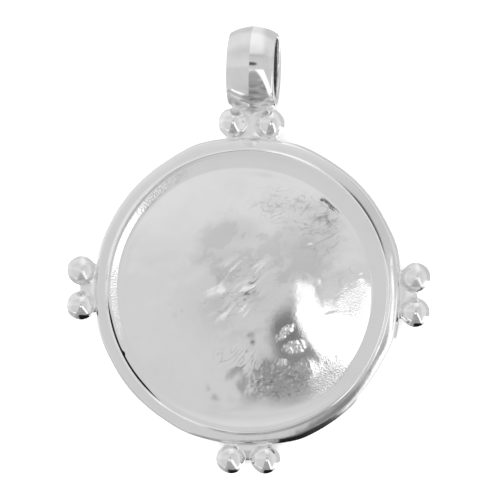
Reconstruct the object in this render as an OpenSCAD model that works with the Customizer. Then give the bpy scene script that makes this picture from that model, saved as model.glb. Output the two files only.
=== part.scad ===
// Round pendant, lying on its back: a domed polished disc held in a bezel with a flat band,
// four pairs of beads round the rim, and a fixed ridged bail that the chain runs through.
// Lengths are in millimetres. The pendant is worked out face up, with x to its right, y towards
// its bail and z out of its face from the level of the beads, and is then laid on the ground.

/* [Rim and bezel] */
// Outer radius of the rim
rim_radius = 15.3; // [14.8:0.1:17]
// Radius of the rounded underside of the rim
rim_round = 1.1; // [1:0.05:1.15]
// Rounding of the band's outer edge
edge_round = 0.37; // [0.25:0.01:0.45]
// How far the band falls from the lip to its rounded edge
band_fall = 0.12; // [0.04:0.01:0.2]
// Outer radius of the lip
lip_radius = 14.2; // [13.8:0.1:14.3]
// Height of the lip over the level of the beads
lip_height = 0.82; // [0.7:0.02:1.2]
// How far the lip stands over the band
lip_stand = 0.13; // [0.08:0.01:0.2]
// Wall thickness of the lip
lip_wall = 0.18; // [0.12:0.02:0.3]
// Thickness of the closed back
back_wall = 0.75; // [0.5:0.05:0.9]

/* [Disc] */
// Clearance between the disc and the bezel
disc_gap = 0.05; // [0.03:0.01:0.08]
// How far the edge of the disc lies under the lip
disc_drop = 0.13; // [0.08:0.01:0.3]
// Height of the disc's dome over its hollowed margin
disc_dome = 0.8; // [0.4:0.05:1.2]
// Width of the hollowed margin round the dome
margin_width = 1.25; // [0.8:0.05:1.6]
// How far the margin rises from the foot of the dome to the edge of the disc
margin_rise = 0.17; // [0.1:0.01:0.3]

/* [Beads] */
// Radius of each bead
bead_radius = 1.45; // [1.35:0.05:1.55]
// Distance of each pair from the pendant's centre
bead_reach = 16.75; // [16.6:0.05:16.9]
// Distance between the centres of a pair
bead_spacing = 3.5; // [3.2:0.1:3.8]
// Distance between the centres of the pair under the bail
bail_bead_spacing = 3.72; // [3.4:0.02:3.9]

/* [Bail] */
// Radius of the chain hole
hole_radius = 2.95; // [2.6:0.05:3.1]
// Distance of the chain hole from the pendant's centre
hole_reach = 22.3; // [22.1:0.05:22.4]
// Outer radius of the bail along its ridge
ridge_radius = 4.3; // [4.1:0.05:4.6]
// Outer radius of the bail at its two ends
end_radius = 3.55; // [3.4:0.05:3.7]
// Length of the bail along the chain
bail_width = 4.72; // [4.2:0.02:5.2]
// Distance of the bail's outer round from the pendant's centre
bail_reach = 22.14; // [22:0.02:22.3]
// How far the bail sits behind the level of the beads
bail_setback = 0.75; // [0.4:0.05:1]
// Roundness of the bail's crown: 1 is a sharp roof, larger is flatter
crown = 1.9; // [1.4:0.1:2.6]

/* [Hidden] */
$fn = 96;
overlap = 0.3;

// The rim's rounded underside is a ring of round section, cut flat level with the back
round_centre = rim_radius - rim_round;
round_level = -0.1;
back_level = round_level - rim_round + 0.05;
floor_level = back_level + back_wall;
// The band runs from the foot of the lip out to its rounded edge, a little inside the ring
side_radius = rim_radius - 0.03;
edge_centre = side_radius - edge_round;
edge_turn = 78;
edge_steps = 6;
band_level = lip_height - lip_stand;
edge_level = band_level - band_fall - edge_round * sin(edge_turn);
// The cup that the disc sits in, a little wider under the lip than at it
cup_radius = lip_radius - lip_wall;

disc_radius = cup_radius - disc_gap;
disc_bottom = floor_level + disc_gap;
disc_edge_level = lip_height - disc_drop;
dome_foot_level = disc_edge_level - margin_rise;
dome_radius = disc_radius - margin_width;
margin_steps = 5;
dome_steps = 10;

// A solder pad joins each bead to the rim, and a web fills the gap between the two of a pair
pad_radius = bead_radius * 0.55;
pad_level = round_level - 0.17;
pad_inset = 0.4;
web_inset = 0.45;
web_height = bead_radius * 0.8;
neck_radius = bead_radius * 0.6;
neck_level = round_level - 0.17;
neck_top = hole_reach - hole_radius - 0.6;
crown_steps = 7;

// The lain pendant stands on the bail's ridge and on the two beads furthest from it
foot_distance = bail_reach + bead_reach;
foot_difference = ridge_radius - bead_radius;
rest_tilt = asin(foot_difference / norm([foot_distance, bail_setback]))
    + atan(bail_setback / foot_distance);
ground = -bead_reach * sin(rest_tilt) - bead_radius;
far_end = bail_reach * cos(rest_tilt) + bail_setback * sin(rest_tilt) + ridge_radius;
near_end = -bead_reach * cos(rest_tilt) - bead_radius;

// Outer radius of the bail at a share of its half width, from -1 to 1
function crown_radius(share) =
    end_radius + (ridge_radius - end_radius) * (1 - pow(abs(share), crown));

// Lays the pendant on the ground, centred over the origin
module lain() {
    translate([0, -(far_end + near_end) / 2, -ground])
        rotate([rest_tilt, 0, 0])
            children();
}

// Rounded underside, flat band with its rounded edge, lip and closed back, as one turned section
module rim_section() {
    difference() {
        union() {
            intersection() {
                translate([round_centre, round_level])
                    circle(rim_round);
                translate([0, back_level])
                    square([rim_radius + overlap, edge_level + 0.1 - back_level]);
            }
            polygon(concat(
                [[0, back_level], [round_centre, back_level],
                    [round_centre, round_level], [side_radius, round_level]],
                [for (i = [0:edge_steps])
                    let (turn = edge_turn * i / edge_steps)
                    [edge_centre + edge_round * cos(turn), edge_level + edge_round * sin(turn)]],
                [[lip_radius, band_level], [lip_radius, lip_height], [0, lip_height]]
            ));
        }
        translate([-overlap, floor_level])
            square([cup_radius + overlap, lip_height - floor_level + overlap]);
    }
}

// One pair of beads on the +y side, with its pads and the web between the two.
// Each ball is turned so that its seam faces away from the rim and the web.
module bead_pair(spacing) {
    bead_distance = norm([bead_reach, spacing / 2]);
    for (side = [-1, 1])
        rotate([0, 0, side * atan(spacing / 2 / bead_reach)]) {
            translate([0, bead_distance, 0])
                rotate([0, 0, 90])
                    sphere(bead_radius);
            translate([0, round_centre, pad_level])
                rotate([-90, 0, 0])
                    cylinder(h = bead_distance - pad_inset - round_centre, r = pad_radius);
        }
    translate([web_inset - spacing / 2, rim_radius - rim_round / 2, round_level - web_height / 2])
        cube([
            spacing - 2 * web_inset,
            bead_reach - web_inset - rim_radius + rim_round / 2,
            web_height
        ]);
}

// Ridged ring with its axis along x, joined to the rim by a short round neck
module bail() {
    half = bail_width / 2;
    difference() {
        union() {
            translate([0, bail_reach, -bail_setback])
                rotate([0, 90, 0])
                    rotate_extrude()
                        polygon(concat(
                            [[0, -half]],
                            [for (i = [-crown_steps:crown_steps])
                                [crown_radius(i / crown_steps), half * i / crown_steps]],
                            [[0, half]]
                        ));
            translate([0, round_centre, neck_level])
                rotate([-90, 0, 0])
                    cylinder(h = neck_top - round_centre, r = neck_radius);
        }
        translate([-half - overlap, hole_reach, -bail_setback])
            rotate([0, 90, 0])
                cylinder(h = bail_width + 2 * overlap, r = hole_radius);
    }
}

// Everything that is soldered together
module setting() {
    color("silver")
        lain() {
            rotate_extrude()
                rim_section();
            bead_pair(bail_bead_spacing);
            for (turn = [90, 180, 270])
                rotate([0, 0, turn])
                    bead_pair(bead_spacing);
            bail();
        }
}

// The polished disc: flat under, straight at its edge, hollowed round its margin, domed within
module disc() {
    color("gainsboro")
        lain()
            rotate_extrude()
                polygon(concat(
                    [[0, disc_bottom], [disc_radius, disc_bottom]],
                    [for (i = [margin_steps:-1:1])
                        let (share = i / margin_steps)
                        [dome_radius + margin_width * share,
                            dome_foot_level + margin_rise * share * share]],
                    [for (i = [dome_steps:-1:0])
                        let (share = i / dome_steps)
                        [dome_radius * share, dome_foot_level + disc_dome * (1 - share * share)]]
                ));
}

setting();
disc();
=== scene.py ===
import math

import bpy
import numpy as np
from mathutils import Matrix, Vector


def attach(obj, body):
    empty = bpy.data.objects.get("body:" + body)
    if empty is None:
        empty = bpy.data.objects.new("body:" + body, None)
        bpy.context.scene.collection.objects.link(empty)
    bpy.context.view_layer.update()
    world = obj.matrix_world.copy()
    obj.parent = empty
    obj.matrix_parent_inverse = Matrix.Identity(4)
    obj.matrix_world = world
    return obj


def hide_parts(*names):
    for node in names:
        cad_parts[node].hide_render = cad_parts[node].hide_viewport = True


# Round silver pendant lying on its bail and its bottom beads. Shapes are worked out in
# millimetres, face up (x to the right, y towards the bail, z out of the face from the level
# of the beads), and laid on the ground at the end by layDown.

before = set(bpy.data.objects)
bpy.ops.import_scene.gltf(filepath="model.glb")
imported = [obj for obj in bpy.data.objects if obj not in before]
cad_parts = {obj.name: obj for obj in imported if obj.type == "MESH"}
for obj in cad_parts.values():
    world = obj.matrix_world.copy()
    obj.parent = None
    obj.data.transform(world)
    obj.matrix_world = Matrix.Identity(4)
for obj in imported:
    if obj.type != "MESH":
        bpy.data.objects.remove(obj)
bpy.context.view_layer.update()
print("frame loaded")

bead = {
    "radius": 1.45,
    "reach": 16.75,        # distance of each pair from the middle
    "spacing": 3.5,
    "topSpacing": 3.72,    # spacing of the pair under the bail
    "uneven": 0.022,       # how far each ball is out of round
    "smaller": 0.02,       # how much less than its radius it is drawn
}
bailRing = {
    "ridge": 4.3,          # outer radius along the ridge
    "end": 3.55,           # outer radius at the two ends
    "width": 4.72,
    "reach": 22.14,
    "setback": 0.75,
    "hole": 2.95,
    "holeReach": 22.3,
    "ridgeShare": 0.5,     # share of the crown that falls straight away from the ridge
    "crown": 3.4,          # power of the rest of the crown
    "edge": 0.13,          # rounding at the outer ends
    "holeEdge": 0.2,       # rounding at the mouth of the hole
    "askew": 0.4,          # the bail and its beads sit this many degrees off the middle
    "uneven": 0.012,       # how far its outside is out of round
    "smaller": 0.018,      # how much less than its radius the outside is drawn
}

footDistance = bailRing["reach"] + bead["reach"]
setbackAngle = math.atan(bailRing["setback"] / footDistance)
restTilt = setbackAngle + math.asin(
    (bailRing["ridge"] - bead["radius"]) / math.hypot(footDistance, bailRing["setback"]))
cosTilt, sinTilt = math.cos(restTilt), math.sin(restTilt)
groundLevel = -bead["reach"] * sinTilt - bead["radius"]
farEnd = bailRing["reach"] * cosTilt + bailRing["setback"] * sinTilt + bailRing["ridge"]
nearEnd = -bead["reach"] * cosTilt - bead["radius"]
middle = (farEnd + nearEnd) / 2
metre = 0.001


def layDown(points):
    # turned by the rest tilt about x, centred along y, lifted onto the ground, in metres
    x, y, z = np.asarray(points, float).reshape(-1, 3).T
    laid = np.stack([x, y * cosTilt - z * sinTilt - middle, y * sinTilt + z * cosTilt - groundLevel], 1)
    return laid * metre


def smoothStep(value, low, high):
    # 0 under low, 1 over high, an even S between the two
    t = np.clip((value - low) / (high - low), 0, 1)
    return t * t * (3 - 2 * t)


def addPiece(name, points, faces, material, values=None):
    # puts points and faces into a mesh, with the faces turned outwards by the sign of the volume
    # inside them, and each of the values as an attribute of its points
    points = layDown(points)
    faces = np.asarray(faces)
    a, b, c = (points[faces[:, i]] for i in range(3))
    volume = np.einsum("ij,ij->i", a, np.cross(b, c)).sum()
    if faces.shape[1] == 4:
        d = points[faces[:, 3]]
        volume += np.einsum("ij,ij->i", a, np.cross(c, d)).sum()
    if volume < 0:
        faces = faces[:, ::-1]
    lists = faces.tolist()
    if faces.shape[1] == 4:
        # a pole's four-cornered face has one corner twice, and becomes a triangle
        same = (faces == np.roll(faces, 1, axis=1)).any(1)
        lists = faces[~same].tolist() + [sorted(set(f), key=f.index) for f in faces[same].tolist()]
    mesh = bpy.data.meshes.new(name)
    mesh.from_pydata(points.tolist(), [], lists)
    mesh.polygons.foreach_set("use_smooth", np.ones(len(mesh.polygons), bool))
    for key, amount in (values or {}).items():
        layer = mesh.attributes.new(key, "FLOAT", "POINT")
        layer.data.foreach_set("value", np.asarray(amount, np.float32).ravel())
    mesh.update()
    piece = bpy.data.objects.new(name, mesh)
    bpy.context.scene.collection.objects.link(piece)
    mesh.materials.append(material)
    print("made", name, len(mesh.vertices), "points", len(mesh.polygons), "faces")
    return piece


def turnedSurface(radii, levels, turns):
    # a profile carried round z: radii and levels are (profile step, turn) arrays.
    # The first and last step have radius 0, and each is one point.
    steps = radii.shape[0]
    inner = np.stack([radii[1:-1] * np.cos(turns), radii[1:-1] * np.sin(turns), levels[1:-1]], -1)
    first = [[0, 0, levels[0].mean()]]
    last = [[0, 0, levels[-1].mean()]]
    points = np.concatenate([first, inner.reshape(-1, 3), last])
    around = turns.size
    row, col = np.meshgrid(np.arange(steps - 3), np.arange(around), indexing="ij")
    here = 1 + row * around + col
    right = 1 + row * around + (col + 1) % around
    body = np.stack([here, right, right + around, here + around], -1).reshape(-1, 4)
    col = np.arange(around)
    nextCol = (col + 1) % around
    start = np.stack([0 * col, 0 * col, 1 + nextCol, 1 + col], -1)
    lastRow = 1 + (steps - 3) * around
    end = np.stack([lastRow + col, lastRow + nextCol, 0 * col + len(points) - 1,
                    0 * col + len(points) - 1], -1)
    return points, np.concatenate([body, start, end])


def perPoint(values):
    # amounts over a turned surface, (profile step, turn) each, in the order of its points
    return {key: np.concatenate([[value[0].mean()], value[1:-1].ravel(), [value[-1].mean()]])
            for key, value in values.items()}


def loopedSurface(points):
    # a closed profile carried round a closed path: (profile step, turn, 3) points
    steps, around = points.shape[:2]
    row, col = np.meshgrid(np.arange(steps), np.arange(around), indexing="ij")
    nextRow, nextCol = (row + 1) % steps, (col + 1) % around
    faces = np.stack([row * around + col, row * around + nextCol,
                      nextRow * around + nextCol, nextRow * around + col], -1)
    return points.reshape(-1, 3), faces.reshape(-1, 4)


def halves(grid, step):
    # a grid without its last layer and without its first one, across the axis of the step
    return (grid[tuple(slice(0, n - s) for n, s in zip(grid.shape, step))],
            grid[tuple(slice(s, None) for s in step)])


def netSurface(field, low, high, cell):
    # the surface where field is 0, closed: one point in each cell that the surface crosses,
    # at the mean of its crossings of the cell's edges, and one face for each crossed edge
    axes = [np.arange(a, b + cell, cell) for a, b in zip(low, high)]
    grid = np.stack(np.meshgrid(*axes, indexing="ij"), -1)
    value = field(grid)
    inside = value < 0
    cells = np.array(value.shape) - 1
    total = np.zeros((*cells, 3))
    count = np.zeros(cells)
    for axis in range(3):
        step = np.eye(3, dtype=int)[axis]
        a, b = halves(value, step)
        crossed = (a < 0) != (b < 0)
        share = np.where(crossed, a / np.where(crossed, a - b, 1), 0)
        place = halves(grid, step)[0] + share[..., None] * step * cell
        others = [i for i in range(3) if i != axis]
        for first in (0, 1):
            for second in (0, 1):
                part = [slice(None)] * 3
                part[others[0]] = slice(first, first + cells[others[0]])
                part[others[1]] = slice(second, second + cells[others[1]])
                part = tuple(part)
                total += np.where(crossed[part][..., None], place[part], 0)
                count += crossed[part]
    used = count > 0
    number = np.full(cells, -1)
    number[used] = np.arange(used.sum())
    points = total[used] / count[used][:, None]
    faces = []
    for axis in range(3):
        a, b = halves(inside, np.eye(3, dtype=int)[axis])
        where = np.argwhere(a != b)
        before, after = (np.eye(3, dtype=int)[(axis + k) % 3] for k in (1, 2))
        corners = [where - before - after, where - after, where, where - before]
        quad = np.stack([number[tuple(c.T)] for c in corners], -1)
        entering = a[tuple(where.T)]
        faces.append(np.where(entering[:, None], quad, quad[:, ::-1]))
    # each point is drawn onto the surface along the slope of the field
    nudge = 1e-4
    rounds = 4
    for _ in range(rounds):
        here = field(points)
        slope = np.stack([field(points + nudge * e) - here for e in np.eye(3)], -1) / nudge
        points = points - here[:, None] * slope / np.maximum((slope ** 2).sum(-1, keepdims=True), 1e-6)
    return points, np.concatenate(faces)


def softMax(a, b, reach):
    # the higher of two surfaces, with the valley between them rounded over the reach
    mix = np.clip(reach - np.abs(a - b), 0, None) / reach
    return np.maximum(a, b) + mix * mix * reach / 4


def blendMin(a, b, reach):
    # the lower of two surfaces or the nearer of two fields, rounded in the same way
    return -softMax(-a, -b, reach)


def rodField(points, start, end, radius):
    # distance from a round rod with ball ends
    start, along = np.array(start, float), np.array(end, float) - np.array(start, float)
    share = np.clip(((points - start) @ along) / (along @ along), 0, 1)
    return np.linalg.norm(points - start - share[..., None] * along, axis=-1) - radius


def latticeNoise(x, y, size, seed):
    # slopes at the corners of a square lattice, blended between: smooth, from about -1 to 1
    table = np.random.RandomState(seed)
    angle = table.uniform(0, 2 * math.pi, (256, 256))
    gx, gy = np.cos(angle), np.sin(angle)
    x, y = x / size + 97.3, y / size + 71.9
    column, row = np.floor(x).astype(int), np.floor(y).astype(int)
    fx, fy = x - column, y - row
    sx, sy = fx ** 3 * (fx * (fx * 6 - 15) + 10), fy ** 3 * (fy * (fy * 6 - 15) + 10)

    def corner(i, j):
        a, b = (column + i) % 256, (row + j) % 256
        return gx[a, b] * (fx - i) + gy[a, b] * (fy - j)

    low = corner(0, 0) * (1 - sx) + corner(1, 0) * sx
    high = corner(0, 1) * (1 - sx) + corner(1, 1) * sx
    return 1.5 * (low * (1 - sy) + high * sy)


def waves(x, y, size, steepness, seed):
    # rolling ground whose slopes are mostly within the steepness
    return steepness * size / 1.3 * latticeNoise(x, y, size, seed)


def nearTurn(turns, degrees, width):
    # a soft bump around one direction, in degrees
    away = (np.degrees(turns) - degrees + 180) % 360 - 180
    return np.exp(-(away / width) ** 2)


class Wire:
    # wraps a socket of a node tree, so that sums and products add Math nodes
    def __init__(self, tree, socket):
        self.tree, self.socket = tree, socket

    def joined(self, operation, first, second):
        return nodeOf(self.tree, "ShaderNodeMath", {"operation": operation}, {0: first, 1: second})

    def __add__(self, other):
        return self.joined("ADD", self, other)

    def __sub__(self, other):
        return self.joined("SUBTRACT", self, other)

    def __rsub__(self, other):
        return self.joined("SUBTRACT", other, self)

    def __mul__(self, other):
        return self.joined("MULTIPLY", self, other)

    def __pow__(self, other):
        return self.joined("POWER", self, other)

    __radd__ = __add__


def nodeOf(tree, kind, settings=None, sockets=None, output=0):
    # adds a node: its settings first, then the values or links of its sockets
    node = tree.nodes.new(kind)
    for key, value in (settings or {}).items():
        setattr(node, key, value)
    for key, value in (sockets or {}).items():
        if isinstance(value, Wire):
            tree.links.new(value.socket, node.inputs[key])
        else:
            node.inputs[key].default_value = value
    return Wire(tree, node.outputs[output]) if len(node.outputs) else None


def ramped(value, low, high, first=0.0, last=1.0):
    # first under low, last over high, an even S between
    settings = {"interpolation_type": "SMOOTHSTEP", "clamp": True}
    if low > high:
        low, high, first, last = high, low, last, first
    return nodeOf(value.tree, "ShaderNodeMapRange", settings,
                  {0: value, 1: low, 2: high, 3: first, 4: last})


def mixed(tree, share, first, second):
    # mixes two greys or colours
    def grey(tone):
        return (tone, tone, tone, 1) if isinstance(tone, (int, float)) else tone
    return nodeOf(tree, "ShaderNodeMix", {"data_type": "RGBA"},
                  {0: share, 6: grey(first), 7: grey(second)}, 2)


def newMaterial(name):
    material = bpy.data.materials.new(name)
    material.use_nodes = True
    material.node_tree.nodes.clear()
    return material, material.node_tree


def noiseAt(tree, place, scale, detail=2.0, rough=0.5, stretch=None, turn=None):
    # a noise from 0 to 1, its pattern drawn out and turned
    if stretch:
        place = nodeOf(tree, "ShaderNodeMapping", None,
                       {"Vector": place, "Rotation": turn or (0, 0, 0), "Scale": stretch})
    return nodeOf(tree, "ShaderNodeTexNoise", None,
                  {"Vector": place, "Scale": scale, "Detail": detail, "Roughness": rough})


silver = {
    "tone": 0.93,
    "cloudy": 0.96,         # share of the tone in the clouds
    "underFilmAndShade": 0.8,          # share of the tone under the film and the painted shade
    "tarnishAndShade": 0.18,        # tone in the seams and the painted shade
    "haze": 0.08,           # added roughness in the dullest clouds
    "scratch": 0.00002,     # height of the polishing marks, in metres
    "grain": 5.0,           # how much higher the grain stands than the marks
}


def silverFinish(name, gloss, seamPower, hazeShare, markPower):
    # polished silver: pale, a little cloudy, dark in its seams and its painted shade, and duller where
    # it is worn.
    # The gloss is its least roughness, the power after it scales the dark of seams and painted shade,
    # hazeShare the clouds' haze.
    material, tree = newMaterial(name)
    place = nodeOf(tree, "ShaderNodeTexCoord", output=3)
    seam, worn, filmAndShade, grain, etched = (
        nodeOf(tree, "ShaderNodeAttribute", {"attribute_name": key}, output=2)
        for key in ("seam", "worn", "filmAndShade", "grain", "etched"))
    clouds = ramped(noiseAt(tree, place, 260, 3.0, 0.55), 0.42, 0.75)
    specks = noiseAt(tree, place, 2600, 2.0, 0.6)
    # fine broken lines along the relief, where a drawn-out noise is near its middle
    strand = noiseAt(tree, place, 900, 2.0, 0.6, (0.45, 1.0, 1.0), (0, 0, -0.6))
    broken = ramped(noiseAt(tree, place, 1400, 1.0, 0.5), 0.42, 0.56)
    line = ramped((strand - 0.5) * (strand - 0.5), 0.0006, 0.0) * broken * etched
    dark = ramped(seam + (specks - 0.5) * 0.5 * seam, 0.0, 1.0)
    dark = dark.joined("MAXIMUM", dark, line) * seamPower
    tone = mixed(tree, clouds, silver["tone"], silver["tone"] * silver["cloudy"])
    # the film and painted shade dim the tone, and the seams and painted shade darken it further
    tone = mixed(tree, filmAndShade, tone, silver["tone"] * silver["underFilmAndShade"])
    tone = mixed(tree, dark, tone, silver["tarnishAndShade"])
    rough = gloss + clouds * (silver["haze"] * hazeShare) + dark * 0.2 + worn * 0.22
    # polishing marks all over, and a finer grain that stands higher where the metal is grainy
    marks = noiseAt(tree, place, 1500, 3.0, 0.6) * 0.3
    marks = marks + noiseAt(tree, place, 7000, 1.0, 0.5) * grain * silver["grain"]
    bump = nodeOf(tree, "ShaderNodeBump", None, {
        "Strength": markPower, "Distance": silver["scratch"], "Height": marks + specks * 0.2})
    shader = nodeOf(tree, "ShaderNodeBsdfPrincipled", None, {
        "Base Color": tone, "Metallic": 1.0, "Roughness": rough, "Normal": bump})
    nodeOf(tree, "ShaderNodeOutputMaterial", None, {"Surface": shader})
    return material


frameSilver = silverFinish("polished silver frame", 0.065, 1.0, 0.6, 0.2)
discSilver = silverFinish("worn silver disc", 0.045, 0.9, 0.35, 0.2)


rim = {
    "lip": 14.2, "lipLevel": 0.82, "lipWall": 0.2,
    "roundCentre": 14.2, "round": 1.1, "roundLevel": -0.1,
    "back": -1.15, "floor": -0.4,
    "bandEdge": 15.04,      # radius at which the flat band turns down
    "bandLevel": 0.68,      # level of the band at the foot of the lip
    "nearLean": 0.03,       # slope of the band at the lip
    "farLean": 0.115,       # slope of the band at its edge
    "turns": 720,
    "wobble": 0.02,         # hand-made unevenness of the edge
    "fairing": 0.24,        # how far the edge swells beside the bead pairs
    "ripple": 0.005,        # slope of the ripples left on the band
    "overhang": 0.12,       # how far the edge bulges at the lower right
    "draw": 0.25,           # how far it is drawn down there
    # where the edge swells: direction in degrees, width in degrees, share of the fairing
    "swells": (
        (-18, 7, 0.9), (18, 7, 0.7), (-58, 17, 0.5), (-35, 10, 0.3), (70, 9, 0.55),
        (110, 8, 0.8), (165, 8, 0.5), (197, 8, 0.6), (-113, 7, 0.4), (-70, 7, 0.6),
        (145, 22, 0.4), (38, 22, 0.7), (220, 22, 0.45)),
}


def bandHeight(radius):
    # level of the flat band, whose slope grows from the lip to its edge, faster further out
    wide = rim["bandEdge"] - rim["lip"]
    share = np.clip((radius - rim["lip"]) / wide, 0, None)
    grow = rim["farLean"] - rim["nearLean"]
    return rim["bandLevel"] - wide * (rim["nearLean"] * share + grow * share ** 2.8 / 2.8)


def ringHeight(radius):
    # level of the upper half of the rim's round section
    across = np.clip(rim["round"] ** 2 - (radius - rim["roundCentre"]) ** 2, 0, None)
    return rim["roundLevel"] + np.sqrt(across)


def gapShare(turns):
    # 1 at the lower left, where the disc stands off the bezel, fading to 0 on both sides
    return smoothStep(np.abs((np.degrees(turns) - 208 + 180) % 360 - 180), 27, 14)


def makeRim():
    # The profile runs from the middle of the back out along it, round the edge, in over the flat
    # band, over the rounded lip, down inside and in along the floor to the axis.
    turns = np.linspace(0, 2 * math.pi, rim["turns"], endpoint=False)
    lipRound = rim["lipWall"] / 2
    edgeAngles = np.radians(np.linspace(-72.5, 33, 20))
    edgeR = rim["roundCentre"] + rim["round"] * np.cos(edgeAngles)
    edgeZ = rim["roundLevel"] + rim["round"] * np.sin(edgeAngles)
    bandR = np.concatenate([np.linspace(15.105, 14.96, 9), np.linspace(14.9, 14.26, 11), [14.225]])
    bandZ = blendMin(ringHeight(bandR), bandHeight(bandR), 0.07)
    bandZ[-1] += 0.03
    # the lip is a small roof, steep inside and broad outside, with a rounded ridge
    lipAcross = np.array([1, 0.86, 0.7, 0.5, 0.3, 0, -0.3, -0.5, -0.7, -0.86, -1])
    lipR = rim["lip"] - lipRound + lipRound * lipAcross
    fromRidge = lipAcross + 0.5
    lipFall = np.where(fromRidge > 0, 0.08, 0.16) * fromRidge
    lipZ = rim["lipLevel"] + 0.015 - np.hypot(0.015, lipFall)
    backR = np.array([0, 3, 7, 10, 12.5, 13.6, 14.0, 14.2])
    innerZ = np.array([0.64, 0.5, 0.2, 0, rim["floor"] + 0.08])
    floorR = np.array([13.98, 13.9, 12, 8, 4, 0])
    cup = rim["lip"] - rim["lipWall"]
    radius = np.concatenate([backR, edgeR, bandR, lipR, np.full(innerZ.size, cup), floorR])
    height = np.concatenate([np.full(backR.size, rim["back"]), edgeZ, bandZ, lipZ, innerZ,
                             np.full(floorR.size, rim["floor"])])
    bandStart = backR.size + edgeR.size
    lipStart = bandStart + bandR.size
    onEdge = np.concatenate([np.zeros(5), [0.1, 0.4, 0.8], np.ones(edgeR.size),
                             smoothStep(bandR, 14.25, 15.0), np.zeros(radius.size - lipStart)])
    # edge swells beside the pairs and wanders a little all round
    swell = sum(share * nearTurn(turns, at, width) for at, width, share in rim["swells"])
    wander = sum(math.pow(0.8, k) * np.sin(k * turns + 1.7 * k * k) for k in range(2, 12))
    out = rim["fairing"] * swell + rim["wobble"] * wander
    bulge = (onEdge * smoothStep(radius, 15.0, 15.1))[:, None]
    bulge = bulge * nearTurn(turns, -68, 17) * rim["overhang"]
    radii = radius[:, None] + onEdge[:, None] * out + bulge
    levels = height[:, None] + 0 * out
    drawn = (onEdge * smoothStep(radius, 14.98, 15.1) * smoothStep(height, -0.3, 0.5))[:, None]
    levels -= drawn * nearTurn(turns, -66, 18) * rim["draw"]
    # the lip wavers by a few hundredths, as a burnished edge does
    sway = (np.sin(5 * turns + 1) + 0.7 * np.sin(9 * turns + 4) + 0.5 * np.sin(17 * turns)) * 0.01
    levels[lipStart:lipStart + 12] += sway
    radii[lipStart:lipStart + 11] += sway * 0.5
    # the band keeps soft ripples of the hand tools
    onBand = np.zeros(radius.size)
    onBand[bandStart:lipStart] = smoothStep(bandR, 15.09, 14.98) * smoothStep(bandR, 14.2, 14.35)
    x, y = radii * np.cos(turns), radii * np.sin(turns)
    ripples = waves(x, y, 1.7, rim["ripple"], 71) + waves(x, y, 0.6, rim["ripple"] * 0.5, 72)
    levels += onBand[:, None] * ripples * (1 - 0.9 * nearTurn(turns, -20, 55))
    points, faces = turnedSurface(radii, levels, turns)
    # painted shade lies in the foot of the lip at the upper right and the lower right, inside the lip,
    # most in the gap at the lower left, and under the disc; a painted dark reflection lies on the drawn
    # edge at the lower right
    onFoot = smoothStep(radii, 14.2, 14.3) * smoothStep(radii, 14.75, 14.4)
    tarnishAndShade = 0.4 * nearTurn(turns, -42, 24) * onFoot
    foot = 0.02 + 1.1 * nearTurn(turns, 31, 14) + 0.5 * nearTurn(turns, -42, 22)
    tarnishAndShade[lipStart - 3:lipStart + 2] = np.array([0.35, 0.9, 1.0, 1.0, 0.3])[:, None] * foot
    atLip = smoothStep(radii, 14.19, 14.21) * smoothStep(radii, 14.5, 14.32)
    tarnishAndShade += 0.8 * nearTurn(turns, 33, 13) * atLip
    # painted shade inside the lip, most in the gap at the lower left, and all dark on the wall and
    # floor under the disc
    tarnishAndShade[lipStart + 9:] = (0.03 + 0.6 * gapShare(turns)) * 0.8
    tarnishAndShade[lipStart + 13:] = 1
    # painted dark reflection on the drawn edge at the lower right
    overEdge = smoothStep(radii, 14.99, 15.04) * smoothStep(levels, -0.6, 0.1)
    tarnishAndShade += 1.4 * nearTurn(turns, -65, 15) * overEdge
    # a thin film on the band at the upper right
    onFlat = smoothStep(radii, 14.25, 14.4) * smoothStep(radii, 15.25, 15.0)
    filmAndShade = 0.7 * nearTurn(turns, 30, 24) * onFlat + 0.15 * smoothStep(radii, 14.2, 14.3)
    worn = np.zeros(radii.shape)
    worn[lipStart:lipStart + 10] = 0.4
    # painted shade dims the lip at the lower right, beside the dark wall
    filmAndShade[lipStart:lipStart + 11] += nearTurn(turns, -42, 24)
    filmAndShade = np.clip(filmAndShade, 0, 1)
    return addPiece("rim", points, faces, frameSilver,
                    perPoint({"seam": tarnishAndShade, "filmAndShade": filmAndShade, "worn": worn}))


solder = {
    "pad": 0.62,           # radius of the rod between a bead and the rim
    "fillet": 0.42,        # how softly the solder runs into the metal
    "web": 0.42,           # radius of the bridge between the two beads of a pair
    "buried": 0.012,       # how far the hidden part lies under the rim's own face
    "cell": 0.085,
    "drawnIn": 0.03,       # how much nearer to the rim the bottom pair is
}


def rimField(points):
    # the rim's round section under its flat band, a little shrunk so that only the fillets
    # come through it
    radius = np.hypot(points[..., 0], points[..., 1])
    ring = np.hypot(radius - rim["roundCentre"], points[..., 2] - rim["roundLevel"]) - rim["round"]
    ring = np.maximum(ring, points[..., 2] - bandHeight(radius)) + solder["buried"]
    return np.maximum(ring, rim["lip"] + 0.06 - radius)


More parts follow.
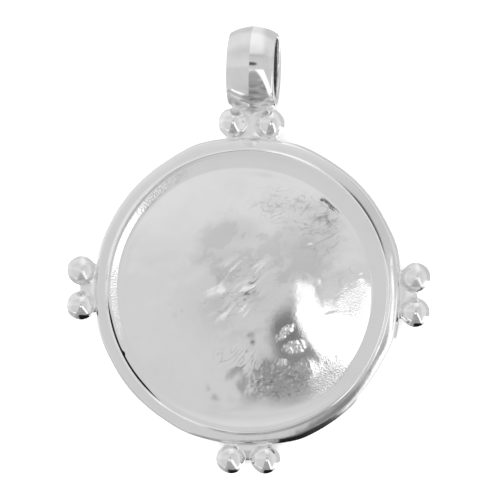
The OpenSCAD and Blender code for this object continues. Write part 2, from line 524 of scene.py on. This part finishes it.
def pairField(points, spacing, seed):
    # a pair of balls on the +y side, soldered to each other and to the rim
    half = spacing / 2
    left, right = [-half, bead["reach"], 0], [half, bead["reach"], 0]
    rimSide = rim["roundCentre"] + 0.5
    body = rimField(points)
    for x in (-half, half):
        pad = rodField(points, [x * 0.93, rimSide, -0.3], [x, bead["reach"] - 0.35, -0.15],
                       solder["pad"])
        body = blendMin(body, pad, solder["fillet"])
    for reach, share in ((0.3, 1.0), (0.95, 1.4)):
        y = bead["reach"] - reach
        web = rodField(points, [-half, y, -0.2], [half, y, -0.2], solder["web"] * share)
        body = blendMin(body, web, solder["fillet"])
    # the balls are a little uneven, each in its own way
    x, y, z = points[..., 0], points[..., 1], points[..., 2]
    uneven = (np.sin(2.3 * x + seed) * np.sin(2.1 * y + 2 * seed)
              + np.sin(1.9 * z + 3 * seed) * np.sin(2.7 * x - seed)
              + 0.6 * np.sin(3.4 * y - seed) * np.sin(3.1 * z + seed)) * bead["uneven"]
    for ball in (left, right):
        away = np.linalg.norm(points - np.array(ball), axis=-1) - bead["radius"]
        away = away + bead["smaller"] + uneven
        body = blendMin(body, away, 0.22)
    return body


def trimmed(body, points, centre, reach):
    # ends the hidden part inside the rim, away from the pair
    edge = np.linalg.norm((points - np.array(centre)) / np.array(reach), axis=-1) - 1
    return np.maximum(body, edge * min(reach))


def turnedBy(points, degrees):
    # turns points about z, counter-clockwise as seen from the front
    turn = math.radians(degrees)
    x = points[:, 0] * math.cos(turn) - points[:, 1] * math.sin(turn)
    y = points[:, 0] * math.sin(turn) + points[:, 1] * math.cos(turn)
    return np.stack([x, y, points[:, 2]], 1)


def makePair(name, degrees, spacing, wear):
    # a pair at one direction round the rim, its left and right ball each worn by its own share
    def field(points):
        return trimmed(pairField(points, spacing, degrees), points, [0, 15.9, 0], [4.4, 2.6, 2.0])
    points, faces = netSurface(field, [-4.6, 12.9, -2.2], [4.6, 18.6, 2.2], solder["cell"])
    dull = solderOf(points, spacing)
    worn = np.maximum(dull, np.where(points[:, 0] < 0, wear[0], wear[1]))
    if name == "bottomBeads":
        points[:, 1] -= solder["drawnIn"]
    points = turnedBy(points, degrees)
    return addPiece(name, points, faces, frameSilver, {
        "seam": dull * 0.1, "worn": worn, "filmAndShade": 0.15 + worn * 0.5})


def solderOf(points, spacing):
    # dull where the surface is solder, bright on the balls
    half = spacing / 2
    balls = [np.linalg.norm(points - np.array([x, bead["reach"], 0]), axis=-1) for x in (-half, half)]
    off = np.min(balls, 0) - bead["radius"]
    return smoothStep(off, 0.01, 0.16)


def bailField(points):
    # the bail's ring as a plain barrel, a little shrunk
    y, z = points[..., 1] - bailRing["reach"], points[..., 2] + bailRing["setback"]
    share = np.abs(points[..., 0]) / (bailRing["width"] / 2)
    outer = np.hypot(y, z) - crownRadius(np.minimum(share, 1.0))
    hole = bailRing["hole"] - np.hypot(points[..., 1] - bailRing["holeReach"], z)
    ends = np.abs(points[..., 0]) - bailRing["width"] / 2 + bailRing["edge"]
    return np.maximum(np.maximum(outer, hole), ends) + solder["buried"] * 2


def crownRadius(share):
    # falls from the ridge to the ends, partly straight and partly rounded
    fall = bailRing["ridgeShare"] * share + (1 - bailRing["ridgeShare"]) * share ** bailRing["crown"]
    return bailRing["ridge"] - (bailRing["ridge"] - bailRing["end"]) * fall


def makeTopPair():
    # the pair under the bail, with the neck that carries it
    spacing = bead["topSpacing"]

    def field(points):
        body = pairField(points, spacing, 0.4)
        neck = rodField(points, [0, 15.2, -0.35], [0, 18.5, -0.3], 0.8)
        body = blendMin(body, neck, 0.7)
        body = blendMin(body, bailField(points), 0.55)
        return trimmed(body, points, [0, 16.6, -0.1], [4.4, 3.1, 2.2])
    points, faces = netSurface(field, [-4.6, 12.9, -2.5], [4.6, 20.1, 2.4], solder["cell"])
    dull = solderOf(points, spacing)
    # a stain where the solder meets the band
    stain = 0.5 * np.exp(-((points[:, 0] - 0.4) / 0.6) ** 2 - ((points[:, 1] - 15.13) / 0.13) ** 2)
    points = turnedBy(points, -bailRing["askew"])
    return addPiece("topBeads", points, faces, frameSilver, {
        "seam": dull * 0.1 + stain, "worn": dull * 0.8, "filmAndShade": dull * 0.5})


def makeBail():
    # The section runs along the ridged outside, round the end's edge, in along the flat end,
    # round the mouth, through the hole and back, and is carried round the bail.
    turns = np.linspace(0, 2 * math.pi, 288, endpoint=False)
    half = bailRing["width"] / 2
    edge, mouth = bailRing["edge"], bailRing["holeEdge"]
    share = np.concatenate([-np.linspace(1, 0, 30)[:-1] ** 1.15, np.linspace(0, 1, 30) ** 1.15])
    outX = share * (half - edge)
    outR = crownRadius(np.abs(outX) / half)
    bend = np.linspace(0.25, math.pi / 2, 6)
    endR = outR[-1] - edge + edge * np.cos(bend) * 0.98
    endX = half - edge + edge * np.sin(bend)
    holeBend = np.linspace(0, math.pi / 2, 6)
    mouthR = mouth - mouth * np.sin(holeBend)
    mouthX = half - mouth + mouth * np.cos(holeBend)
    holeX = np.linspace(half - mouth, -(half - mouth), 14)[1:-1]
    # each section point: sideways place, radius, and whether it follows the hole's centre
    x = np.concatenate([outX, endX, mouthX, holeX, -mouthX[::-1], -endX[::-1]])
    r = np.concatenate([outR, endR, bailRing["hole"] + mouthR, np.full(holeX.size, bailRing["hole"]),
                        bailRing["hole"] + mouthR[::-1], endR[::-1]])
    inside = np.concatenate([np.zeros(outX.size + endX.size), np.ones(mouthX.size * 2 + holeX.size),
                             np.zeros(endX.size)])
    centre = bailRing["reach"] + inside * (bailRing["holeReach"] - bailRing["reach"])
    # hand finishing: the outside is a few hundredths out of round
    sway = (np.sin(2 * turns + 0.6) + 0.6 * np.sin(5 * turns + 2.0)) * bailRing["uneven"]
    radius = r[:, None] + (1 - inside[:, None]) * (sway - bailRing["smaller"])
    points = np.stack([
        np.repeat(x[:, None], turns.size, 1),
        centre[:, None] + radius * np.cos(turns),
        -bailRing["setback"] + radius * np.sin(turns)], -1)
    points, faces = loopedSurface(points)
    points = turnedBy(points, -bailRing["askew"])
    # darker the deeper inside the hole
    depth = np.clip((half - np.abs(x)) / half, 0, 1) * inside
    seam = np.repeat((depth * 0.55)[:, None], turns.size, 1).ravel()
    # thinly and unevenly darker, more towards the neck
    low = np.repeat(smoothStep(-np.cos(turns), 0.2, 0.95)[None], x.size, 0).ravel()
    uneven = latticeNoise(points[:, 0] + points[:, 2] * 0.6, points[:, 1], 0.8, 81)
    filmAndShade = 0.4 + 0.35 * low + 0.12 * uneven
    seam = seam + low * 0.4 * smoothStep(uneven, 0.0, 0.5)
    return addPiece("bail", points, faces, frameSilver, {
        "seam": seam, "filmAndShade": np.clip(filmAndShade, 0, 1), "worn": low * low * 0.3})


face = {
    "edge": 14.01, "bottom": -0.35, "edgeLevel": 0.69,
    "apex": 1.42,           # level of the dome's top
    "foot": 12.68,          # radius of its foot
    "steep": 0.115,         # slope of the hollowed margin at the upper left
    "plain": 0.04,          # slope that it reaches near its edge elsewhere
    "edgeRound": 0.03,
    "gap": 0.14,            # how far it stands off the bezel at the lower left, twice in one nick
    "domeRings": 127, "marginRings": 31, "turns": 560,
}


def patch(x, y, centreX, centreY, wide, high, turn=0.0, soft=0.55):
    # 1 inside a turned oval, fading to 0 over its soft outer part
    c, s = math.cos(math.radians(turn)), math.sin(math.radians(turn))
    dx, dy = x - centreX, y - centreY
    away = np.hypot((dx * c + dy * s) / wide, (dy * c - dx * s) / high)
    return 1 - smoothStep(away, 1 - soft, 1 + soft * 0.4)


def bentAxes(x, y, degrees, stretch, seed):
    # coordinates along and across one direction, bent a little by a broad noise
    bentX = x + 0.4 * latticeNoise(x, y, 2.6, seed + 1)
    bentY = y + 0.4 * latticeNoise(x, y, 2.3, seed + 2)
    c, s = math.cos(math.radians(degrees)), math.sin(math.radians(degrees))
    return (bentX * c + bentY * s) / stretch, bentY * c - bentX * s


def creases(x, y, size, degrees, stretch, seed, sharp=6.0):
    # narrow lines drawn out along one direction, 1 along their middle and 0 away from them
    a, b = bentAxes(x, y, degrees, stretch, seed)
    near = np.sqrt(latticeNoise(a, b, size, seed) ** 2 + 0.1 ** 2)
    strength = smoothStep(latticeNoise(x, y, 1.9, seed + 3), -0.3, 0.35)
    return strength * ((1 - near) / 0.9).clip(0, 1) ** sharp


def furrows(x, y, size, degrees, stretch, seed, skew=0.0):
    # rounded ridges drawn out along one direction, from -1 to 1, leaning over by the skew
    a, b = bentAxes(x, y, degrees, stretch, seed)
    lean = b + skew * size * latticeNoise(a, b, size, seed)
    strength = 0.4 + 0.6 * smoothStep(latticeNoise(x, y, 2.1, seed + 3), -0.3, 0.35)
    return strength * latticeNoise(a, lean, size, seed)


relief = {
    # ovals on the disc: centre x, centre y, half length, half width, turn, soft part of the edge
    "still": (-6.5, 7.5, 7.5, 6.0),
    "clouds": (1.5, 2.0, 8.5, 8.0, 0, 0.6),
    "tufts": (4.2, 8.2, 4.4, 2.2, -10),
    "strands": (7.8, 5.9, 2.8, 3.4, -15),
    "lowStrands": (6.2, 4.7, 1.8, 1.5, 0, 0.6),
    "furrows": (-0.9, 0.2, 4.4, 3.2, 38),
    "ridges": (-0.8, -0.2, 2.8, 1.3, 41, 0.6),
    "mottled": (3.5, -8.9, 3.6, 2.3, 8),
    "smoothCorner": (6.0, -6.8, 1.0, 1.4, 0, 0.6),
    "cuts": (-1.2, -6.9, 3.2, 2.2, 20),
    "soft": (9.4, 1.6, 3.0, 2.6),
    "strokes": (8.3, 0.4, 1.6, 1.9),
    # several ovals, each with its strength before them
    "flats": ((1.0, 4.5, -2.8, 4.2, 6.6, -8, 0.3), (1.0, 9.0, -4.6, 4.2, 3.6, 30, 0.3),
              (0.9, 9.6, -0.5, 3.6, 3.2, 0, 0.4), (0.9, 6.1, 3.0, 2.4, 2.4, 0, 0.5)),
    "lumps": ((1.0, 4.9, -5.4, 1.2, 0.7, 8, 0.4), (1.0, 3.8, -7.0, 0.6, 0.4, 30, 0.5),
              (1.0, 3.9, -4.0, 1.15, 0.42, 46, 0.6), (0.6, 5.7, -7.3, 1.3, 0.8, 40, 0.6)),
    "grains": ((1.0, 8.0, -8.8, 3.4, 2.0, 42, 0.9), (0.8, 10.6, -1.0, 2.4, 1.5, 80, 0.9),
               (0.6, 8.2, 7.2, 1.8, 1.5, 30, 0.9)),
    # dull films, the one at the upper middle a painted darker reflection
    "filmsAndShade": ((0.3, 0.6, 1.5, 7.5, 7.0, 0, 0.8), (0.35, -1.6, 4.4, 3.9, 3.2, 15, 0.3),
              (0.2, 5.0, 3.5, 4.0, 3.0, -20, 0.5), (0.5, 6.3, 6.0, 3.8, 3.6, 0, 0.5)),
    # pits and stains: x, y, radius, height, dirt
    "pits": ((0.6, -4.3, 0.42, -0.01, 0.5), (0.75, -5.0, 0.25, -0.006, 0.7),
             (-7.1, -2.5, 0.4, -0.012, 0.2), (-7.6, -1.4, 0.22, -0.006, 0.2),
             (-6.4, -2.0, 0.2, -0.006, 0.25), (-3.9, -3.2, 0.7, -0.01, 0),
             (7.9, -7.0, 0.2, -0.01, 0.4), (8.9, -6.3, 0.16, -0.008, 0.3),
             (-5.6, -7.6, 0.7, -0.008, 0)),
}


def highest(x, y, ovals):
    # the strongest of several patches at each place
    return np.max([share * patch(x, y, *oval) for share, *oval in ovals], axis=0)


def summed(x, y, ovals):
    # several patches laid over each other
    return sum(share * patch(x, y, *oval) for share, *oval in ovals)


def reliefOf(x, y):
    # worn relief over the smooth dome: its height in millimetres, the dirt in its lines, the
    # shares that are rubbed dull and clouded by a film that also paints shade in the valleys, and the
    # share with fine broken lines.
    # Broad waves lie everywhere except on the smooth flats. Patches of tufts, strands, furrows,
    # mottling, lumps and pits lie towards the right and below.
    flats = highest(x, y, relief["flats"])
    calm = (1 - 0.6 * patch(x, y, *relief["still"])) * (1 - 0.95 * flats)
    height = calm * (waves(x, y, 6.0, 0.014, 11) + waves(x, y, 2.9, 0.011, 12)
                     + waves(x, y, 1.2, 0.008, 13))
    # soft clouds of film from the middle to the right: five noises, each finer and weaker
    ragged = sum(
        0.62 ** k * latticeNoise(*bentAxes(x, y, 38, 1.5, 60 + k), 3.2 * 0.5 ** k, 15 + k)
        for k in range(5))
    cloudedAndShaded = patch(x, y, *relief["clouds"]) * 0.75 * smoothStep(ragged, -0.12, 0.5)
    # tufts at the top right
    tufts = patch(x, y, *relief["tufts"])
    lines = creases(x, y, 1.2, 26, 2.1, 63, 11.0) + 0.7 * creases(x, y, 0.8, 30, 1.8, 24, 11.0)
    height += tufts * (0.03 * furrows(x, y, 1.2, 26, 1.9, 21, -0.3) - 0.01 * lines
                       + waves(x, y, 0.8, 0.02, 22))
    dirt = 0.42 * tufts * lines
    # strands down the right side
    side = patch(x, y, *relief["strands"])
    lines = creases(x, y, 1.3, 58, 1.9, 28, 10.0)
    raised = side * (1 - 0.85 * patch(x, y, *relief["lowStrands"]))
    height += raised * (0.015 * furrows(x, y, 1.2, 58, 1.9, 25, -0.3) - 0.007 * lines
                        + waves(x, y, 0.7, 0.009, 26))
    dirt += 0.4 * side * lines
    # long furrows across the middle, rubbed along their ridges
    middle = patch(x, y, *relief["furrows"]) * smoothStep(x, 4.5, 3.0)
    ridges = furrows(x, y, 0.5, 41, 6.5, 31, -0.5)
    lines = creases(x, y, 0.8, 41, 4.0, 34)
    height += middle * (1 - flats) * (0.012 * ridges - 0.003 * lines + waves(x, y, 0.6, 0.008, 32))
    height += 0.028 * ridges * patch(x, y, *relief["ridges"])
    dirt += 0.35 * middle * lines
    rubbed = 2.0 * middle * smoothStep(ridges, 0.04, 0.4)
    # the film is kept off the ridges, so the valleys are painted darker as their shade
    cloudedAndShaded *= 1 - middle * smoothStep(ridges, -0.1, 0.2)
    # mottled ground at the bottom right
    lower = patch(x, y, *relief["mottled"])
    lines = creases(x, y, 0.8, 20, 2.2, 42) + creases(x, y, 0.45, 25, 1.6, 43)
    rough = lower * (1 - patch(x, y, *relief["smoothCorner"]))
    height += rough * (waves(x, y, 1.1, 0.01, 45) + waves(x, y, 0.35, 0.03, 46) - 0.002 * lines)
    dirt += lower * (0.5 * lines + 0.3 * smoothStep(latticeNoise(x, y, 0.3, 47), -0.1, 0.5))
    rubbed += 0.15 * lower
    cloudedAndShaded += 0.7 * lower
    # crumpled lumps above it
    crumpled = highest(x, y, relief["lumps"])
    crumple = np.abs(latticeNoise(x, y, 0.62, 57) + 0.5 * latticeNoise(x, y, 0.3, 58))
    height += 0.022 * crumpled * crumple
    dirt += 0.5 * crumpled * smoothStep(crumple, 0.12, 0.02)
    rubbed += 0.4 * crumpled
    # short cuts at the bottom left
    cuts = patch(x, y, *relief["cuts"]) * creases(x, y, 0.5, 46, 3.0, 51, 12.0)
    height -= 0.005 * cuts
    dirt += 0.35 * cuts
    # soft mottling and a few strokes at the right
    soft = patch(x, y, *relief["soft"])
    lines = creases(x, y, 1.2, 40, 1.6, 54)
    height += soft * (waves(x, y, 1.1, 0.005, 53) - 0.004 * lines)
    dirt += 0.2 * soft * lines
    dirt += 0.4 * patch(x, y, *relief["strokes"]) * creases(x, y, 0.9, 55, 1.6, 55)
    for atX, atY, size, rise, stain in relief["pits"]:
        near = np.exp(-((x - atX) ** 2 + (y - atY) ** 2) / size ** 2)
        height += rise * near
        dirt += stain * near
    etched = 0.35 * tufts + 0.2 * side + 0.25 * middle + 0.9 * lower + 0.1 * soft
    return height, dirt, rubbed, cloudedAndShaded, etched


def grainOf(x, y, outward, turns):
    # share of fine grain: in patches near the foot of the dome, and in the margin at the left
    where = summed(x, y, relief["grains"])
    beyond = smoothStep(outward, 0.05, 0.3)
    left = 0.1 + nearTurn(turns, 188, 10) + nearTurn(turns, 132, 13)
    return np.clip(where * (1 - beyond) + beyond * smoothStep(outward, 1.0, 0.7) * left * 0.8, 0, 1)


def makeDisc():
    # Polar grid whose rings follow the foot of the dome: a dome that falls with the square of the
    # radius, a hollowed margin that rises outward, the straight edge and the flat underside.
    turns = np.linspace(0, 2 * math.pi, face["turns"], endpoint=False)
    gap = gapShare(turns)
    outline = face["edge"] - face["gap"] * (gap + nearTurn(turns, 207.5, 0.9))
    # the foot of the dome lies a little left, and draws in at the top and bottom
    foot = (face["foot"] - 0.22 * np.cos(turns) - 0.4 * nearTurn(turns, 90, 50)
            - 0.82 * nearTurn(turns, -91, 30) + 0.03 * np.sin(3 * turns + 1)
            + 0.02 * np.sin(7 * turns))
    inward = np.linspace(0, 1, face["domeRings"]) ** 0.94
    beyond = np.linspace(0, 1, face["marginRings"] + 1)[1:]
    radius = np.concatenate([inward[:, None] * foot, foot + beyond[:, None] * (outline - foot)])
    x, y = radius * np.cos(turns), radius * np.sin(turns)
    # the margin is a steep hollow at the upper left and nearly flat elsewhere
    early = np.minimum(nearTurn(turns, 163, 33) * 1.5, 1)
    outward = (radius - foot) / (outline - foot)
    lowest = 0.12 * nearTurn(turns, -90, 45) * outward
    steepPart = early * face["steep"] * smoothStep(outward, 0.08, 0.34)
    plainPart = (1 - early) * (face["plain"] * outward ** 2 + lowest)
    slope = np.where(outward > 0, steepPart + plainPart, 0) * smoothStep(outward, 0.86, 0.68)
    steps = np.diff(radius, axis=0) * (slope[1:] + slope[:-1]) / 2
    margin = np.concatenate([0 * radius[:1], np.cumsum(steps, 0)])
    flat = face["edgeLevel"] - margin[-1]
    margin = margin + flat
    dome = face["apex"] - (face["apex"] - flat) * (radius / foot) ** 2
    # the fold between them is sharp at the right and soft below
    fold = (0.006 + 0.15 * nearTurn(turns, -93, 30) + 0.012 * nearTurn(turns, 100, 40)
            + 0.02 * nearTurn(turns, 225, 30))
    level = softMax(dome, margin, fold)
    onDome = 1 - smoothStep(radius / foot, 0.93, 1.0)
    height, dirt, rubbed, cloudedAndShaded, lines = reliefOf(x, y)
    level += onDome * height
    level[0] = level[1].mean()
    # rounded upper edge, straight side and flat bottom
    edgeRound = face["edgeRound"]
    radii = [radius - edgeRound * np.clip(outward, 0, 1) ** 4]
    levels = [level]
    for a in np.linspace(0, math.pi / 2, 4)[1:]:
        radii.append((radius[-1] - edgeRound + edgeRound * math.sin(a))[None])
        levels.append((level[-1] - edgeRound + edgeRound * math.cos(a))[None])
    for z in (0.4, 0.1, face["bottom"] + 0.06):
        radii.append(radius[-1][None])
        levels.append(np.full((1, turns.size), z))
    for r in (13.8, 12, 8, 4, 0):
        radii.append(np.full((1, turns.size), r) * (outline / face["edge"]))
        levels.append(np.full((1, turns.size), face["bottom"]))
    radii, levels = np.concatenate(radii), np.concatenate(levels)
    points, faces = turnedSurface(radii, levels, turns)
    top = radius.shape[0]
    seam, worn, filmAndShade, grain, etched = (np.zeros(radii.shape) for _ in range(5))
    etched[:top] = onDome * np.clip(lines, 0, 1)
    # painted shade in a thin band along the edge at the upper left, beside the lip
    edgeShade = 0.45 * nearTurn(turns, 140, 34) * smoothStep(outward, 0.74, 0.86)
    seam[:top] = onDome * np.clip(dirt, 0, 0.8) + edgeShade
    # painted shade on the rounded edge in the gap at the lower left, and all dark down the side and
    # under the disc
    seam[top - 1:top + 3] = 0.8 * gap
    seam[top + 3:] = 1
    grain[:top] = grainOf(x, y, outward, turns)
    # the foot of the dome is dull at the bottom
    lowFoot = (nearTurn(turns, -85, 25) * smoothStep(radius / foot, 0.84, 0.97)
               * smoothStep(outward, 0.3, 0.1))
    worn[:top] = onDome * rubbed + grain[:top] * 0.3 + 0.8 * lowFoot
    # thin dull films and painted shade over the middle and the upper right, and on the margin at the
    # top
    filmAndShade[:top] = (summed(x, y, relief["filmsAndShade"])
                  + 0.3 * nearTurn(turns, 88, 28) * smoothStep(outward, 0.3, 0.9))
    filmAndShade[:top] = np.clip(filmAndShade[:top] + onDome * cloudedAndShaded, 0, 1)
    return addPiece("disc_face", points, faces, discSilver, perPoint(
        {"seam": seam, "worn": worn, "filmAndShade": filmAndShade, "grain": grain, "etched": etched}))


rimPiece = makeRim()
bailPiece = makeBail()
topPair = makeTopPair()
pairs = [makePair(name, degrees, bead["spacing"], wear) for name, degrees, wear in (
    ("leftBeads", 90, (0.05, 0.8)), ("bottomBeads", 181, (0.0, 0.5)), ("rightBeads", -90, (0.8, 0.0)))]
discPiece = makeDisc()

for piece in (rimPiece, bailPiece, topPair, *pairs):
    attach(piece, "root")
    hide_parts("setting")
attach(discPiece, "root")
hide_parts("disc")
print("pieces placed")


view = {
    "yaw": 6.6,            # degrees to the pendant's right
    "pitch": 2.0,          # degrees above its middle
    "roll": 0.9,           # the pendant shows turned clockwise by this
    "distance": 0.5,
    "field": 0.04975,      # width of the picture at the pendant
    "aim": (0.16, 4.12, 0.0),
}


def localDirection(x, y, z):
    # a direction of the face-up pendant, turned with it
    return Vector((x, y * cosTilt - z * sinTilt, y * sinTilt + z * cosTilt))


def makeCamera():
    yaw, pitch = math.radians(view["yaw"]), math.radians(view["pitch"])
    towards = localDirection(math.sin(yaw) * math.cos(pitch), math.sin(pitch),
                             math.cos(yaw) * math.cos(pitch)).normalized()
    roll = math.radians(view["roll"])
    upward = localDirection(math.sin(-roll), math.cos(-roll), 0)
    upward = (upward - upward.dot(towards) * towards).normalized()
    right = upward.cross(towards).normalized()
    aim = Vector(layDown([view["aim"]])[0])
    data = bpy.data.cameras.new("camera")
    data.sensor_width = 36
    data.lens = data.sensor_width * view["distance"] / view["field"]
    data.clip_start, data.clip_end = 0.01, 20
    camera = bpy.data.objects.new("camera", data)
    place = Matrix((right, upward, towards)).transposed().to_4x4()
    place.translation = aim + towards * view["distance"]
    camera.matrix_world = place
    bpy.context.scene.collection.objects.link(camera)
    bpy.context.scene.camera = camera
    return right, upward, towards


rightAxis, upAxis, viewAxis = makeCamera()
print("camera placed")


studio = {
    "floorTone": 0.93,
    "skyForFloor": 2.2,     # light on the floor
    "skySeen": 0.96,        # the backdrop behind the floor
    "tent": 0.65,           # the tent around the camera
    "cards": 1.35,          # white card
    "darkNear": 0.21,       # dark card near the middle
    "darkFar": 0.38,        # the same further out
    "folds": 0.8,           # how strongly its far part is mottled
    "deep": 0.01,           # deep shade, far down
    "lens": 0.08,
    "lensPlace": (0.155, 0.12),    # on the map in makeStudio
}


def window(value, rise, full, fade, end):
    # 0 before rise and after end, 1 from full to fade
    return ramped(value, rise, full) * ramped(value, end, fade)


def makeStudio():
    # The metal sees a studio tent: pale grey around the camera and brighter above, a white card
    # to the right, a dark one left of it and the camera's lens. They are laid out on a map in
    # which a place is the slope of the polished face that shows it: u to the right, w up.
    world = bpy.data.worlds.new("studio")
    world.use_nodes = True
    tree = world.node_tree
    tree.nodes.clear()
    bpy.context.scene.world = world
    direction = nodeOf(tree, "ShaderNodeTexCoord", output=0)
    # a face shows the direction halfway between the view and its own reflection
    faced = nodeOf(tree, "ShaderNodeVectorMath", {"operation": "ADD"},
                   {0: direction, 1: tuple(viewAxis)})
    faced = nodeOf(tree, "ShaderNodeVectorMath", {"operation": "NORMALIZE"}, {0: faced})

    def part(axis):
        return nodeOf(tree, "ShaderNodeVectorMath", {"operation": "DOT_PRODUCT"},
                      {0: faced, 1: tuple(axis)}, 1)
    # slopes are counted from the pendant's own face, which is turned from the camera
    u = part(rightAxis) + math.sin(math.radians(view["yaw"]))
    w = part(upAxis) + math.sin(math.radians(view["pitch"]))
    reach = (u * u + w * w) ** 0.5
    # the tent: paler at the left and just above the middle, dimmer far up and far down
    tone = (studio["tent"] + ramped(u, 0.0, -0.13) * 0.025 + ramped(w, 0.0, 0.1) * 0.1
            - ramped(w, 0.1, 0.5) * 0.12 + ramped(w, 0.4, 0.6) * 0.04 - ramped(w, -0.2, -0.5) * 0.05)
    # a bright panel at the upper right, and under it a dimmer field and a dark line between them
    panel = ramped(w, 0.33, 0.42) * window(u, -0.04, 0.1, 0.25, 0.4)
    field = window(w, 0.04, 0.08, 0.3, 0.32) * ramped(u, 0.12, 0.15)
    between = window(w, 0.29, 0.31, 0.33, 0.35) * window(u, 0.1, 0.12, 0.35, 0.4)
    tone = tone + panel * 0.22 - field * 0.07 - between * 0.1
    # a pale rim all round, dimmer at its very edge
    tone = tone + ramped(reach, 0.45, 0.7) * 0.14 - ramped(reach, 0.84, 0.93) * 0.15
    # white card, with its corner near the middle and widening down to the right
    below = 0.014 - w
    beside = u - 0.07
    leftEdge = u - 0.0515 - ramped(below, 0.04, 0.11) * 0.03
    upperEdge = (below - 0.008 - ramped(u, 0.066, 0.076) * 0.022 + ramped(u, 0.1, 0.125) * 0.026
                 - beside * 0.1 - beside * beside * 0.6)
    near = ramped(reach, 0.165, 0.15)
    card = ramped(leftEdge, -0.004, 0.004) * ramped(upperEdge, -0.003, 0.003) * near
    # its far part, a slanting band
    slant = u + w * 0.5
    wedge = (window(slant, 0.155, 0.175, 0.29, 0.31) * ramped(w, 0.0, -0.02)
             * ramped(reach, 0.15, 0.17))
    card = card.joined("MAXIMUM", card, wedge)
    # a white strip low down, all along the far edge
    lowCard = (ramped(reach, 0.74, 0.8) * ramped(w + u * 0.2, 0.0, -0.06)
               * ramped(w + u * 0.85, -0.06, 0.0))
    card = card + lowCard - card * lowCard
    # dark card: from below the middle down, left of the white card, paler further out
    darkLeft = (u + 0.008 - ramped(w, -0.11, -0.085) * 0.03
                - below.joined("MINIMUM", w + 0.17, 0.0) * 0.39)
    darkTop = w + 0.03 - (u - 0.024) * 0.8
    darkRight = ramped(leftEdge, 0.03, 0.0) * near + ramped(slant, 0.2, 0.165) * (1 - near)
    shade = (ramped(darkLeft, -0.009, 0.009) * ramped(w, 0.0, -0.02)
             * ramped(darkTop, 0.008, -0.014) * darkRight)
    # a bright slit and a dimmer ground at the lower left, and a deep shade right of them
    low = w + u * 0.5
    slit = window(low, -0.675, -0.66, -0.635, -0.62) * window(u, -0.42, -0.36, -0.2, -0.13)
    card = card + slit - card * slit
    dimmer = ramped(low, -0.67, -0.7) * ramped(u, 0.0, -0.05) * ramped(reach, 0.95, 0.9)
    tone = tone - dimmer * 0.2
    deep = ramped(w, -0.64, -0.72) * window(u, -0.08, 0.0, 0.6, 0.66)
    lensX, lensY = studio["lensPlace"]
    lens = 1 - ramped(((u - lensX) ** 2 + (w - lensY) ** 2) ** 0.5, 0.03, 0.05)
    # the layers are laid over each other, the dark card mottled in its far part
    folds = (noiseAt(tree, faced, 11, 2.0, 0.6) - 0.5) * ramped(reach, 0.2, 0.35) * studio["folds"]
    dark = mixed(tree, ramped(reach, 0.06, 0.14), studio["darkNear"], folds + studio["darkFar"])
    radiance = mixed(tree, shade, tone, dark)
    radiance = mixed(tree, card, radiance, studio["cards"])
    radiance = mixed(tree, deep, radiance, studio["deep"])
    radiance = mixed(tree, lens, radiance, studio["lens"])
    path = nodeOf(tree, "ShaderNodeLightPath", output=0)
    glossy = Wire(tree, path.socket.node.outputs["Is Glossy Ray"])
    seen = Wire(tree, path.socket.node.outputs["Is Camera Ray"])
    radiance = mixed(tree, glossy, studio["skyForFloor"], radiance)
    radiance = mixed(tree, seen, radiance, studio["skySeen"])
    background = nodeOf(tree, "ShaderNodeBackground", None, {"Color": radiance, "Strength": 1.0})
    nodeOf(tree, "ShaderNodeOutputWorld", None, {"Surface": background})
    bpy.context.scene.view_settings.view_transform = "Standard"


def makeFloor():
    # a wide flat sheet, drawn as a grid
    cells = 8
    side = np.linspace(-1.5, 1.5, cells + 1)
    x, y = np.meshgrid(side, side, indexing="ij")
    points = np.stack([x, y, 0 * x], -1).reshape(-1, 3)
    row, col = np.meshgrid(np.arange(cells), np.arange(cells), indexing="ij")
    here = (row * (cells + 1) + col).ravel()
    faces = np.stack([here, here + cells + 1, here + cells + 2, here + 1], -1)
    material, tree = newMaterial("pale floor")
    place = nodeOf(tree, "ShaderNodeTexCoord", output=3)
    grain = noiseAt(tree, place, 60, 2.0, 0.5)
    tone = mixed(tree, grain, studio["floorTone"] * 0.99, studio["floorTone"])
    shader = nodeOf(tree, "ShaderNodeBsdfPrincipled", None, {
        "Base Color": tone, "Roughness": 0.9, "Specular IOR Level": 0.0})
    nodeOf(tree, "ShaderNodeOutputMaterial", None, {"Surface": shader})
    mesh = bpy.data.meshes.new("floor")
    mesh.from_pydata(points.tolist(), [], faces.tolist())
    mesh.materials.append(material)
    floor = bpy.data.objects.new("floor", mesh)
    floor.visible_glossy = False
    bpy.context.scene.collection.objects.link(floor)


makeStudio()
makeFloor()
print("studio lit")
